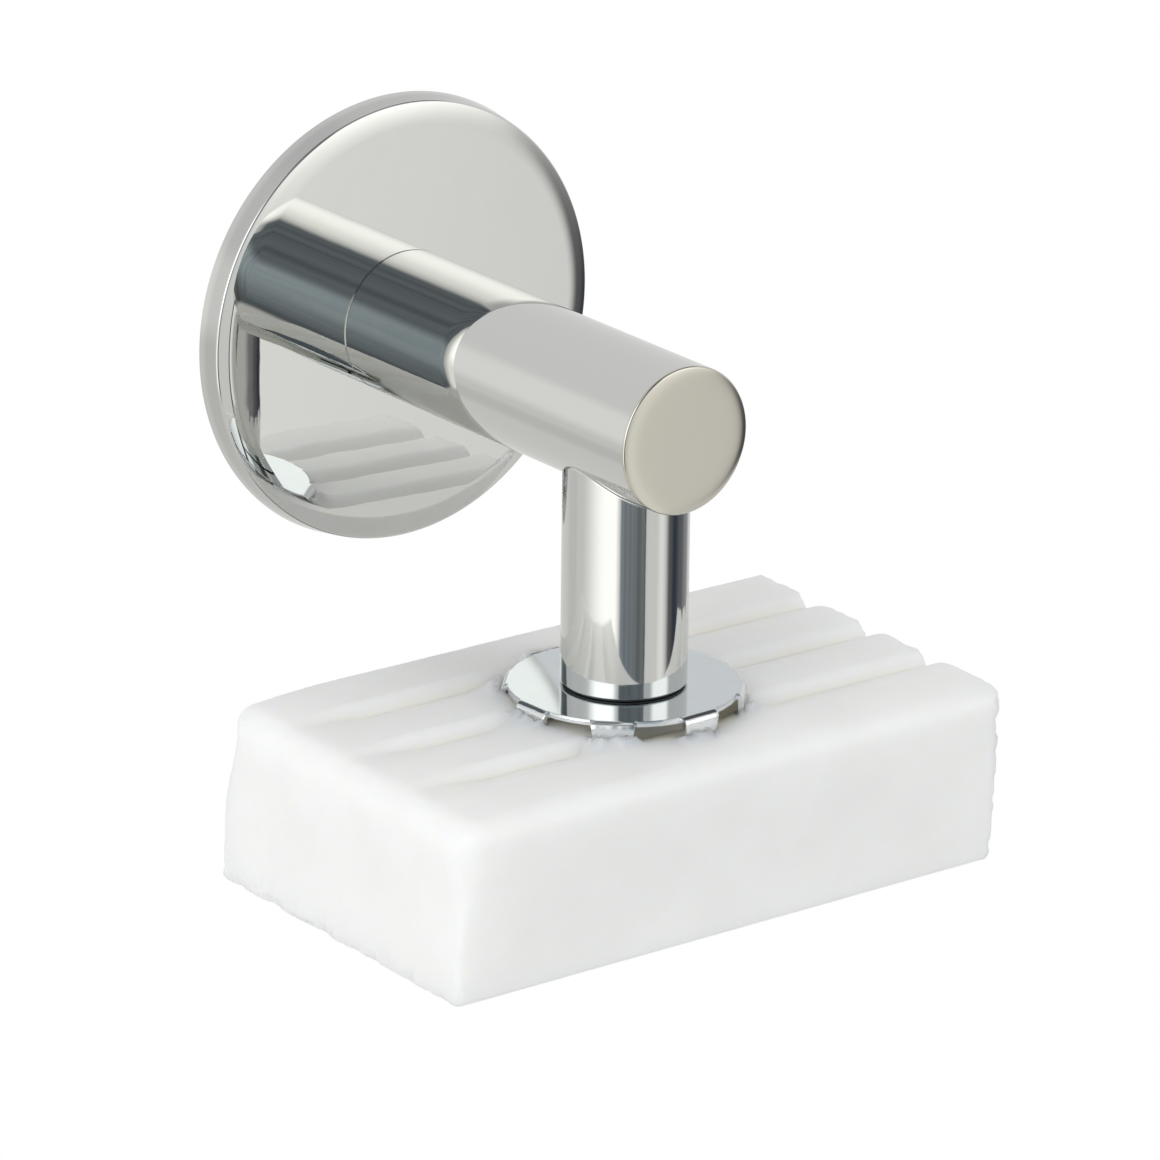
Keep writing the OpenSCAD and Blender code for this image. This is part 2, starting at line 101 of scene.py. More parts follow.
# Soft lamps: place and radius in metres, and power in watts. Both aim at the middle of the holder.
LAMPS = ((0.2, -0.1, 1.2), 0.5, 2.3), ((-0.75, -0.95, 0.35), 0.4, 2.3)
LAMP_AIM = Vector((0, -0.05, -0.04))


def photo_axes():
    """The camera's right, up and backward directions"""
    back = Vector((math.sin(AZIMUTH) * math.cos(ELEVATION), -math.cos(AZIMUTH) * math.cos(ELEVATION),
                   math.sin(ELEVATION)))
    level = Vector((math.cos(AZIMUTH), math.sin(AZIMUTH), 0))
    steep = back.cross(level)
    right = math.cos(ROLL) * level + math.sin(ROLL) * steep
    up = -math.sin(ROLL) * level + math.cos(ROLL) * steep
    return right, up, back


def set_camera():
    right, up, back = photo_axes()
    camera = bpy.data.objects.new("camera", bpy.data.cameras.new("camera"))
    bpy.context.scene.collection.objects.link(camera)
    place = (DISTANCE * back - ACROSS * right - UPWARDS * up) * MM
    camera.matrix_world = Matrix.Translation(place) @ Matrix((right, up, back)).transposed().to_4x4()
    camera.data.sensor_fit = "HORIZONTAL"
    camera.data.sensor_width = SENSOR
    camera.data.lens = FOCAL / PHOTO_SIDE * SENSOR
    camera.data.clip_start, camera.data.clip_end = NEAREST, FARTHEST
    camera.data.dof.use_dof = False
    bpy.context.scene.camera = camera


class Value:
    """A number or a link in a node tree, with arithmetic that adds Math nodes"""

    def __init__(self, graph, link):
        self.graph, self.link = graph, link

    def math(self, operation, *others):
        return self.graph.add("ShaderNodeMath", {"operation": operation}, self, *others)[0]

    def __add__(self, other): return self.math("ADD", other)
    def __radd__(self, other): return self.math("ADD", other)
    def __sub__(self, other): return self.math("SUBTRACT", other)
    def __rsub__(self, other): return Value(self.graph, other).math("SUBTRACT", self)
    def __mul__(self, other): return self.math("MULTIPLY", other)
    def __rmul__(self, other): return self.math("MULTIPLY", other)
    def __pow__(self, other): return self.math("POWER", other)

    def step(self, low, high):
        """0 below low, 1 above high, smooth between"""
        return self.graph.add("ShaderNodeMapRange", {"interpolation_type": "SMOOTHSTEP"},
                              self, low, high, 0.0, 1.0)[0]


class Graph:
    """The node tree of a material or of the world"""

    def __init__(self, owner):
        owner.use_nodes = True
        self.tree = owner.node_tree
        self.tree.nodes.clear()

    def add(self, kind, settings=None, *inputs, **named):
        """Adds a node, sets its settings, fills its inputs, and returns its outputs as values"""
        node = self.tree.nodes.new(kind)
        for key, value in (settings or {}).items():
            setattr(node, key, value)
        for key, value in [*enumerate(inputs), *named.items()]:
            self.fill(node.inputs[key if isinstance(key, int) else key.replace("_", " ")], value)
        return [Value(self, out) for out in node.outputs]

    def fill(self, socket, value):
        """Links a value to a socket, or sets the socket to a plain number or colour"""
        if isinstance(value, Value):
            value = value.link
        if isinstance(value, bpy.types.NodeSocket):
            self.tree.links.new(value, socket)
        elif isinstance(value, tuple) and socket.type == "RGBA":
            socket.default_value = (*value, 1)
        else:
            socket.default_value = value

    def mix(self, factor, first, second):
        """Mixes two colours"""
        node = self.tree.nodes.new("ShaderNodeMix")
        node.data_type = "RGBA"
        for index, value in ((0, factor), (6, first), (7, second)):
            self.fill(node.inputs[index], value)
        return Value(self, node.outputs[2])

    def noise(self, where, scale, detail=3.0, rough=0.5):
        return self.add("ShaderNodeTexNoise", None, Vector=where, Scale=scale, Detail=detail, Roughness=rough)[0]

    def point(self, x, y, z):
        return self.add("ShaderNodeCombineXYZ", None, x, y, z)[0]

    def place(self):
        """The place on a piece at rest, in metres, and its three numbers"""
        where = self.add("ShaderNodeTexCoord")[3]
        return where, *self.add("ShaderNodeSeparateXYZ", None, where)

    def bump(self, height, strength=1.0, distance=1.0):
        return self.add("ShaderNodeBump", None, Strength=strength, Distance=distance, Height=height)[0]

    def finish(self, shader, kind="ShaderNodeOutputMaterial"):
        self.add(kind, None, shader)


def new_material(name):
    material = bpy.data.materials.new(name)
    return material, Graph(material)


def studio_world():
    """A white studio: the camera sees white, and polished metal also sees soft boxes and the dark end of the room"""
    world = bpy.data.worlds.new("studio")
    bpy.context.scene.world = world
    g = Graph(world)
    x, y, z = g.add("ShaderNodeSeparateXYZ", None, g.add("ShaderNodeTexCoord")[0])
    across = x * math.cos(AZIMUTH) + y * math.sin(AZIMUTH)
    ahead = x * math.sin(AZIMUTH) - y * math.cos(AZIMUTH)
    turn = across.math("ARCTAN2", ahead) * (180 / math.pi)
    rise = z.math("ARCSINE") * (180 / math.pi)

    def card(under, colour, turns, rises):
        """Lays a card of one colour, or of one mixed tone, over what is seen so far"""
        sideways = turn.step(*turns[:2]) * (1 - turn.step(*turns[2:]))
        mask = sideways * rise.step(*rises[:2]) * (1 - rise.step(*rises[2:]))
        return g.mix(mask, under, colour)

    # pale paper all round, darker high up and straight below
    seen = g.mix(rise.step(-16, -4), (0.76, 0.76, 0.745), (0.8, 0.8, 0.8))
    seen = g.mix(rise.step(44, 56), seen, (0.7, 0.71, 0.72))
    seen = g.mix(rise.step(58, 76), seen, (0.18, 0.19, 0.2))
    seen = g.mix(rise.step(-76, -56), (0.25, 0.25, 0.25), seen)
    for each in RIGHT_WALL, FACE_CARD, LEFT_WALL, LEFT_SHADE, LEFT_SOFT_BOX, LEFT_BOX_MIDDLE, RIGHT_SOFT_BOX:
        seen = card(seen, *each)

    # the dark end of the room, behind the camera, with faint upright streaks
    streaks = g.noise(g.point(turn * 0.2, rise * 0.025, 3.0), 1.0, 3.0, 0.6)
    wide = streaks.step(0.36, 0.62)
    room = g.mix(wide, (0.14, 0.162, 0.178), (0.205, 0.232, 0.26))
    corner = g.mix(streaks.step(0.4, 0.6), (0.1, 0.105, 0.11), (0.136, 0.141, 0.141))
    bluish = g.mix(wide, (0.39, 0.46, 0.51), (0.51, 0.59, 0.64))
    screen = g.mix(turn.step(88, 99), (0.12, 0.12, 0.125), (0.042, 0.05, 0.07))
    screen = g.mix(turn.step(100, 116), screen, (0.13, 0.138, 0.155))
    screen = g.mix(turn.step(118, 136), screen, (0.3, 0.3, 0.31))
    seen = card(seen, room, *DARK_ROOM)
    seen = card(seen, room, *DARK_ROOM_RIGHT)
    seen = card(seen, corner, *ROOM_CORNER)
    seen = card(seen, bluish, *BLUISH_PATCH)
    seen = card(seen, screen, *DARK_SCREEN)
    seen = card(seen, *BEHIND_RIGHT)
    camera_sees = g.add("ShaderNodeLightPath")[0]
    colour = g.mix(camera_sees, seen, (1.0, 1.0, 1.0))
    g.finish(g.add("ShaderNodeBackground", None, colour, 1.0)[0], "ShaderNodeOutputWorld")


def studio_floor():
    """A pale floor far under the holder, white to the camera and clear from below"""
    mesh = bpy.data.meshes.new("floor")
    corners = [(x * FLOOR_HALF, y * FLOOR_HALF, FLOOR_Z) for x, y in ((-1, -1), (1, -1), (1, 1), (-1, 1))]
    mesh.from_pydata(corners, [], [(0, 1, 2, 3)])
    floor = bpy.data.objects.new("floor", mesh)
    bpy.context.scene.collection.objects.link(floor)
    material, g = new_material("pale_floor")
    pale = g.add("ShaderNodeBsdfDiffuse", None, (0.85, 0.85, 0.85))[0]
    bright = g.add("ShaderNodeEmission", None, (1.0, 1.0, 1.0), 1.0)[0]
    camera_sees = g.add("ShaderNodeLightPath")[0]
    seen = g.add("ShaderNodeMixShader", None, camera_sees, pale, bright)[0]
    below = g.add("ShaderNodeNewGeometry")[6]
    clear = g.add("ShaderNodeBsdfTransparent")[0]
    g.finish(g.add("ShaderNodeMixShader", None, below, seen, clear)[0])
    mesh.materials.append(material)
    floor.visible_glossy = False


def soft_lamp(place, radius, power):
    """A round soft lamp that polished metal does not show"""
    light = bpy.data.lights.new("soft_lamp", "AREA")
    light.shape, light.size, light.energy = "DISK", 2 * radius, power
    lamp = bpy.data.objects.new("soft_lamp", light)
    bpy.context.scene.collection.objects.link(lamp)
    way = Vector(place) - LAMP_AIM
    lamp.matrix_world = Matrix.Translation(Vector(place)) @ way.to_track_quat("Z", "Y").to_matrix().to_4x4()
    lamp.visible_glossy = lamp.visible_camera = False


class Skin:
    """Collects patches of points, each with its exact normal, and makes one mesh of them"""
    STEPS_TO_MM = 20000

    def __init__(self):
        self.points, self.found, self.faces, self.normals = [], {}, [], []

    def vertex(self, point):
        """The number of a point; points that round to the same step are one"""
        key = tuple(round(c * self.STEPS_TO_MM) for c in point)
        if key not in self.found:
            self.found[key] = len(self.points)
            self.points.append(point)
        return self.found[key]

    def patch(self, rows):
        """Joins neighbouring rows of (point, normal) by four-sided faces"""
        for low, high in zip(rows, rows[1:]):
            for j in range(len(low) - 1):
                self.face([low[j], low[j + 1], high[j + 1], high[j]])

    def face(self, corners):
        """One face, turned so that it looks the way its normals point; corners that fall together are one"""
        kept = []
        for point, normal in corners:
            index = self.vertex(point)
            if index not in [k for k, _ in kept]:
                kept.append((index, normal))
        if len(kept) < 3:
            return
        points = [self.points[k] for k, _ in kept]
        made = Vector((0, 0, 0))
        for a, b in zip(points, points[1:] + points[:1]):
            made += a.cross(b)
        if made.dot(sum((n for _, n in kept), Vector((0, 0, 0)))) < 0:
            kept.reverse()
        self.faces.append([k for k, _ in kept])
        self.normals.extend(n.normalized() for _, n in kept)

    def thing(self, name, material):
        mesh = bpy.data.meshes.new(name)
        mesh.from_pydata([p * MM for p in self.points], [], self.faces)
        mesh.polygons.foreach_set("use_smooth", [True] * len(self.faces))
        mesh.normals_split_custom_set([tuple(n) for n in self.normals])
        mesh.materials.append(material)
        made = bpy.data.objects.new(name, mesh)
        bpy.context.scene.collection.objects.link(made)
        return made


def arc(centre, radius, start, end, steps):
    """Points on an arc of a turned profile, with their normals; angles in degrees"""
    made = []
    for i in range(steps + 1):
        a = math.radians(start + (end - start) * i / steps)
        out = (math.cos(a), math.sin(a))
        made.append(((centre[0] + radius * out[0], centre[1] + radius * out[1]), out))
    return made


def flat(first, last, normal, steps=1):
    """Points on a straight part of a turned profile"""
    return [((first[0] + (last[0] - first[0]) * i / steps, first[1] + (last[1] - first[1]) * i / steps), normal)
            for i in range(steps + 1)]


def half_step(j, steps):
    """Angle of a point on a ring that starts half a step round, so that no point stands out past the solid's box"""
    return 2 * math.pi * (j % steps + 0.5) / steps


def turned(skin, profile, around, steps):
    """Turns a profile of (radius, height) points about an axis: around(angle, radius, height) places it"""
    rows = []
    for (radius, height), (out, up) in profile:
        row = []
        for j in range(steps + 1):
            a = half_step(j, steps)
            row.append((around(a, radius, height), around(a, out, up) - around(a, 0, 0)))
        rows.append(row)
    skin.patch(rows)


def about_arm(a, radius, depth):
    return Vector((radius * math.cos(a), -depth, radius * math.sin(a)))


def about_post(a, radius, z):
    return Vector((radius * math.cos(a), -POST_DEPTH + radius * math.sin(a), z))


def cover_plate(material):
    """Pressed cover: flat face, sloping shoulder, tight corner, drawn-in side, and its hollow back"""
    corner_side = COVER_R - COVER_DRAFT
    flat_r = corner_side - CORNER_R * (1 - math.sin(SHOULDER_SLOPE)) - SHOULDER_W
    shoulder_r = SHOULDER_W / math.sin(SHOULDER_SLOPE)
    shoulder_c = (flat_r, FACE_DEPTH - shoulder_r)
    leave = math.pi / 2 - SHOULDER_SLOPE
    reach = shoulder_r - CORNER_R
    corner_c = (shoulder_c[0] + reach * math.cos(leave), shoulder_c[1] + reach * math.sin(leave))
    lean = math.atan2(COVER_DRAFT, corner_c[1] - RIM_DEPTH)
    corner = arc(corner_c, CORNER_R, math.degrees(leave), math.degrees(lean), 16)
    side_n = corner[-1][1]
    rim, rim_inside = (COVER_R, RIM_DEPTH), (COVER_R - COVER_SHEET, RIM_DEPTH)
    back = (corner_side - COVER_SHEET, COVER_BACK)
    skin = Skin()
    for profile in (
        flat((COVER_HOLE_R, FACE_DEPTH), (flat_r, FACE_DEPTH), (0, 1), 6),
        arc(shoulder_c, shoulder_r, 90, math.degrees(leave), 12),
        corner,
        flat(corner[-1][0], rim, side_n, 4),
        flat(rim, rim_inside, (0, -1)),
        flat(rim_inside, back, (-1, 0), 2),
        flat(back, (COVER_HOLE_R, COVER_BACK), (0, -1), 2),
        flat((COVER_HOLE_R, COVER_BACK), (COVER_HOLE_R, FACE_DEPTH), (-1, 0)),
    ):
        turned(skin, profile, about_arm, COVER_STEPS)
    made = skin.thing("cover_plate_polished", material)
    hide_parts("cover_plate")
    return made


def end_face():
    """Profile of the arm's end: a small edge radius, and a face that stays flat until it falls away at the edge"""
    crown_r = ARM_R - ARM_EDGE * (1 - math.sin(CROWN_SLOPE))
    drop = crown_r * math.tan(CROWN_SLOPE) / CROWN_POWER
    corner = (crown_r - ARM_EDGE * math.sin(CROWN_SLOPE), ARM_REACH - drop - ARM_EDGE * math.cos(CROWN_SLOPE))
    face = arc(corner, ARM_EDGE, 0, 90 - math.degrees(CROWN_SLOPE), 12)
    for k in range(1, CROWN_STEPS + 1):
        t = 1 - (k / CROWN_STEPS) ** 2
        lean = math.atan(math.tan(CROWN_SLOPE) * t ** (CROWN_POWER - 1))
        face.append(((crown_r * t, ARM_REACH - drop * t ** CROWN_POWER), (math.sin(lean), math.cos(lean))))
    return corner[1], face


def arm(material):
    """Solid bar with a bore for the hub, a chamfered wall end, and a hole underneath for the grub screw"""
    side_end, face = end_face()
    skin = Skin()
    chamfer = (ARM_R - ARM_CHAMFER, ARM_START), (ARM_R, ARM_START + ARM_CHAMFER)
    for profile in (
        flat((HUB_BORE_R, HUB_BORE_END), (HUB_BORE_R, ARM_START), (-1, 0), 2),
        flat((HUB_BORE_R, ARM_START), chamfer[0], (0, -1)),
        flat(*chamfer, (0.707, -0.707)),
        flat(chamfer[1], (ARM_R, side_end), (1, 0), 40),
        face,
        flat((0, HUB_BORE_END), (HUB_BORE_R, HUB_BORE_END), (0, -1)),
    ):
        turned(skin, profile, about_arm, ROUND_STEPS)
    made = skin.thing("arm_polished", material)
    drill(made, Vector((0, -GRUB_DEPTH, -ARM_R)), GRUB_HOLE_R, GRUB_DRILL)

    def exact(point, normal):
        """The turned shape's own normal, unless the corner belongs to the bore, the hole or the wall end"""
        out = Vector((point.x, 0, point.z))
        if -point.y < side_end + 1e-4:
            best = out.normalized() if out.length > 1e-6 else normal
        else:
            near = min(face, key=lambda step: abs(step[0][0] - out.length) + abs(step[0][1] + point.y))
            best = out.normalized() * near[1][0] + Vector((0, -near[1][1], 0))
        return best if best.dot(normal) > 0.9 else normal

    exact_normals(made, exact)
    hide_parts("arm")
    return made


def drill(thing, place, radius, length):
    """Cuts a round hole upwards into a piece"""
    bm = bmesh.new()
    bmesh.ops.create_cone(bm, cap_ends=True, segments=64, radius1=radius * MM, radius2=radius * MM,
                          depth=length * MM, matrix=Matrix.Translation(place * MM))
    cut_out(thing, bm)


def cut_out(thing, bm):
    """Cuts the shape of a bmesh out of a piece"""
    mesh = bpy.data.meshes.new("cutter")
    bm.to_mesh(mesh)
    bm.free()
    cutter = bpy.data.objects.new("cutter", mesh)
    bpy.context.scene.collection.objects.link(cutter)
    cut = thing.modifiers.new("cut", "BOOLEAN")
    cut.object, cut.operation, cut.solver = cutter, "DIFFERENCE", "EXACT"
    bpy.context.view_layer.update()
    graph = bpy.context.evaluated_depsgraph_get()
    mesh = bpy.data.meshes.new_from_object(thing.evaluated_get(graph), depsgraph=graph)
    thing.modifiers.clear()
    thing.data = mesh
    bpy.data.objects.remove(cutter)


def exact_normals(thing, rule):
    """Sets each corner's normal by a rule of its point and its face's normal, both in millimetres"""
    mesh = thing.data
    mesh.polygons.foreach_set("use_smooth", [True] * len(mesh.polygons))
    normals = [None] * len(mesh.loops)
    for face in mesh.polygons:
        for k in face.loop_indices:
            normals[k] = tuple(rule(mesh.vertices[mesh.loops[k].vertex_index].co / MM, face.normal.copy()))
    mesh.normals_split_custom_set(normals)


def post_tube(material):
    """Tube whose upper end is coped to the arm, with the edges of both ends slightly rounded"""

    def cope(a, radius):
        return -math.sqrt(SADDLE_R ** 2 - (radius * math.cos(a)) ** 2)

    skin = Skin()
    side_low = POST_LOW + POST_EDGE
    low_edge = arc((POST_R - POST_EDGE, side_low), POST_EDGE, -90, 0, 4)
    turned(skin, low_edge, about_post, ROUND_STEPS)
    turned(skin, flat((POST_R - POST_EDGE, POST_LOW), (POST_BORE_R, POST_LOW), (0, -1)), about_post, ROUND_STEPS)
    side, bend, saddle, bore = [], [], [], []
    upwards = Vector((0, 0, 1))
    for j in range(ROUND_STEPS + 1):
        a = half_step(j, ROUND_STEPS)
        out = Vector((math.cos(a), math.sin(a), 0))
        high = cope(a, POST_R) - POST_EDGE
        side.append([(about_post(a, POST_R, side_low + (high - side_low) * t / 8), out) for t in range(9)])
        turn_in = [math.radians(22.5 * t) for t in range(5)]
        bend.append([(about_post(a, POST_R - POST_EDGE + POST_EDGE * math.cos(b), high + POST_EDGE * math.sin(b)),
                      out * math.cos(b) + upwards * math.sin(b)) for b in turn_in])
        bore_top = about_post(a, POST_BORE_R, cope(a, POST_BORE_R))
        saddle.append([(about_post(a, POST_R - POST_EDGE, high + POST_EDGE), upwards), (bore_top, upwards)])
        bore.append([(about_post(a, POST_BORE_R, POST_LOW), -out), (bore_top, -out)])
    for patch in (side, bend, saddle, bore):
        skin.patch(patch)
    made = skin.thing("post_polished", material)
    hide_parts("post_tube")
    return made


def polished_steel():
    """Mirror polish, faintly wavy, with a warmer arm end that is a painted reflection and a darker plate side wall
    that is painted shade; the post's lower part is drawn and a little duller
    """
    material, g = new_material("polished_steel")
    where, x, y, z = g.place()
    depth = y * -1000
    radius = (x * x + z * z) ** 0.5 * 1000
    # where each part lies: in millimetres from the wall and from the arm's axis, and in metres of height
    plate = 1 - depth.step(FACE_DEPTH + 0.01, ARM_START)
    post_low = (1 - z.step(-0.012, -0.009)) * depth.step(40, 42)
    # painted shade: the plate's side wall gets a darker tone between these depths
    plate_side_shade_mask = radius.step(28.75, 28.95) * (1 - depth.step(2.9, 3.3)) * depth.step(0.5, 1.6)
    # painted reflection: the arm's end face gets a warmer tone, standing in for the warm surroundings it mirrors
    arm_end_reflection_mask = depth.step(ARM_REACH - 0.6, ARM_REACH - 0.4)
    wave = g.noise(where, 130.0, 2.0)
    ripple = g.noise(where, 60.0, 2.0, 0.4)
    drawn = g.noise(g.point(x * 900, y * 900, z * 40), 1.0, 3.0, 0.6)
    haze = g.noise(where, 420.0, 4.0, 0.6)
    tone = g.mix(plate_side_shade_mask, g.mix(arm_end_reflection_mask, STEEL, ARM_END_PAINTED_REFLECTION), PLATE_SIDE_PAINTED_SHADE)
    bump = g.bump(wave * 0.000012 + ripple * plate * 0.00001 + drawn * post_low * 0.000005)
    g.finish(g.add("ShaderNodeBsdfPrincipled", None, Base_Color=tone, Metallic=1.0,
                   Roughness=0.008 + haze * 0.014 + post_low * 0.045, Normal=bump)[0])
    return material


def plain(name, colour, metal, rough, spread=0.08, scale=300.0):
    """A machined or moulded finish whose tone and roughness vary finely"""
    material, g = new_material(name)
    cloud = g.noise(g.add("ShaderNodeTexCoord")[3], scale, 4.0)
    tone = g.mix(cloud, tuple(c * (1 - spread) for c in colour), tuple(c * (1 + spread) for c in colour))
    g.finish(g.add("ShaderNodeBsdfPrincipled", None, Base_Color=tone, Metallic=metal,
                   Roughness=rough + cloud * 0.1 - 0.05, Normal=g.bump(cloud, 0.15, 0.0001))[0])
    return material


def zinc_plate():
    """Bright zinc: smooth on the disc's top, dented and duller where the claws were cut and folded"""
    material, g = new_material("zinc_plate")
    where, _, _, z = g.place()
    folded = 1 - (z * 1000).step(DISC_TOP - 0.35, DISC_TOP - 0.1)
    cloud = g.noise(where, 300.0, 4.0)
    dents = g.noise(where, 330.0, 2.0, 0.5)
    tone = g.mix(folded, g.mix(cloud, ZINC_DARKER, ZINC_LIGHTER), ZINC_FOLDED)
    bump = g.bump(cloud * 0.000002 + dents * folded * 0.00011)
    g.finish(g.add("ShaderNodeBsdfPrincipled", None, Base_Color=tone, Metallic=1.0,
                   Roughness=0.04 + cloud * 0.06 + folded * 0.1, Normal=bump)[0])
    return material


def claw_disc(material):
    """Thin sheet with eight claws folded down; a claw narrows to two teeth"""
    tip_half = CLAW_W / 2 - CLAW_TAPER
    sector = math.pi / CLAWS
    claw_side, edge_start = math.atan2(CLAW_W / 2, FOLD_R), 0.015
    skin = Skin()

    def placed(turn, point, normal):
        spin = Matrix.Rotation(turn, 3, "Z")
        return (spin @ Vector(point) + Vector((0, -POST_DEPTH, DISC_TOP)), spin @ Vector(normal))

    def rim(a):
        """The disc's radius: round, but straight at the fold of a claw"""
        return min(DISC_R, FOLD_R / math.cos(a))

    def round_over(a):
        """Radius of the disc's worn edge, which starts beside a claw"""
        return DISC_EDGE * max(0.0, min(1.0, (abs(a) - claw_side) / edge_start))

    between = [claw_side + edge_start] + [claw_side + (sector - claw_side) * k / 8 for k in range(1, 9)]
    across_claw = [-claw_side + 2 * claw_side * k / 16 for k in range(17)]
    angles = [-a for a in reversed(between)] + across_claw + between

    def cut_edge(turn, side):
        """The disc's edge from a claw's side to the middle of the gap beside it"""
        rows = []
        for k in range(10):
            b = math.radians(90 - 22.5 * k if k < 5 else -22.5 * (k - 5))
            row = []
            for a in [claw_side * side] + [a * side for a in between]:
                r = rim(a) - round_over(a) * (1 - math.cos(b))
                z = (-round_over(a) if k < 5 else round_over(a) - DISC_T) + round_over(a) * math.sin(b)
                row.append(placed(turn, (r * math.cos(a), r * math.sin(a), z),
                                  (math.cos(b) * math.cos(a), math.cos(b) * math.sin(a), math.sin(b))))
            rows.append(row)
        skin.patch(rows)

    # a claw's cross-section: its outer face, one side, its inner face and the other side
    loop = [(1, -1 + k / 12, 0.0) for k in range(25)] + [(0, 1, k / 8) for k in range(1, 8)]
    loop += [(-1, 1 - k / 12, 1.0) for k in range(25)] + [(0, -1, 1 - k / 8) for k in range(1, 8)]
    loop.append(loop[0])
    outer_face, inner_face = slice(0, 25), slice(32, 57)
    bend = CLAW_BEND * math.pi / 2
    shortest = bend + CLAW_H - CLAW_BEND - TOOTH_H
    steps, root = 44, 0.3

    for claw in range(CLAWS):
        turn = SET_TURN + claw * 2 * sector
        for z, up in ((0, 1), (-DISC_T, -1)):
            rings = []
            for f in (0, 0.25, 0.5, 0.75, 0.9, 1):
                at = [((rim(a) - round_over(a)) * f, a) for a in angles]
                rings.append([placed(turn, (r * math.cos(a), r * math.sin(a), z), (0, 0, up)) for r, a in at])
            skin.patch(rings)
        cut_edge(turn, 1)
        cut_edge(turn, -1)
        rows = []
        for i in range(steps + 1):
            row = []
            for side, across, through in loop:
                tooth = TOOTH_H * (1 - abs(2 * abs(across) - 1))
                s = (shortest + tooth) * i / steps
                fall = max(0.0, min(1.0, (s - root) / (shortest - root)))
                half = CLAW_W / 2 + (tip_half - CLAW_W / 2) * fall
                if s < bend:
                    a = math.pi / 2 - s / CLAW_BEND
                    mid = (FOLD_R + CLAW_BEND * math.cos(a), -CLAW_BEND + CLAW_BEND * math.sin(a))
                    out = (math.cos(a), math.sin(a))
                else:
                    mid, out = (FOLD_R + CLAW_BEND, -CLAW_BEND - (s - bend)), (1.0, 0.0)
                worn = abs(across) ** 30 * DISC_EDGE * min(1.0, s / root)
                depth = DISC_T * through + worn * side
                n = (side * out[0], across if side == 0 else 0.5 * across ** 15, side * out[1])
                row.append(placed(turn, (mid[0] - out[0] * depth, across * half, mid[1] - out[1] * depth), n))
            rows.append(row)
        skin.patch(rows)
        tip = rows[-1]
        skin.patch([[(p, Vector((0, 0, -1))) for p, _ in line] for line in (tip[outer_face], tip[inner_face][::-1])])
    made = skin.thing("claw_disc_plated", material)
    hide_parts("claw_disc")
    return made


def smooth(t):
    """0 below 0, 1 above 1, smooth between"""
    t = np.clip(t, 0, 1)
    return t * t * (3 - 2 * t)


def soap_samples(half, spots):
    """Places along one side of the bar, closer together at its ends and at the given (place, width, step) spots"""
    coarse, fine, end_width, tries = 0.85, 0.35, 1.6, 4001
    at = np.linspace(-half, half, tries)
    density = np.full_like(at, 1 / coarse)
    density += (1 / fine) * np.exp(-((half - np.abs(at)) / end_width) ** 2)
    for centre, width, step in spots:
        density += (1 / step) * np.exp(-((at - centre) / width) ** 4)
    total = np.concatenate(([0], np.cumsum((density[1:] + density[:-1]) / 2 * np.diff(at))))
    count = int(total[-1])
    return np.interp(np.linspace(0, total[-1], count + 1), total, at)


def box_grid(sides):
    """Points and faces of a box that is divided at the given places along its three sides"""
    index, points, faces = {}, [], []

    def corner(key):
        if key not in index:
            index[key] = len(points)
            points.append([sides[a][key[a]] for a in range(3)])
        return index[key]

    for axis in range(3):
        u, v = (axis + 1) % 3, (axis + 2) % 3
        for end in (0, len(sides[axis]) - 1):
            for i in range(len(sides[u]) - 1):
                for j in range(len(sides[v]) - 1):
                    keys = []
                    for du, dv in ((0, 0), (1, 0), (1, 1), (0, 1)):
                        key = [0, 0, 0]
                        key[axis], key[u], key[v] = end, i + du, j + dv
                        keys.append(corner(tuple(key)))
                    faces.append(keys if end else keys[::-1])
    return np.array(points), faces


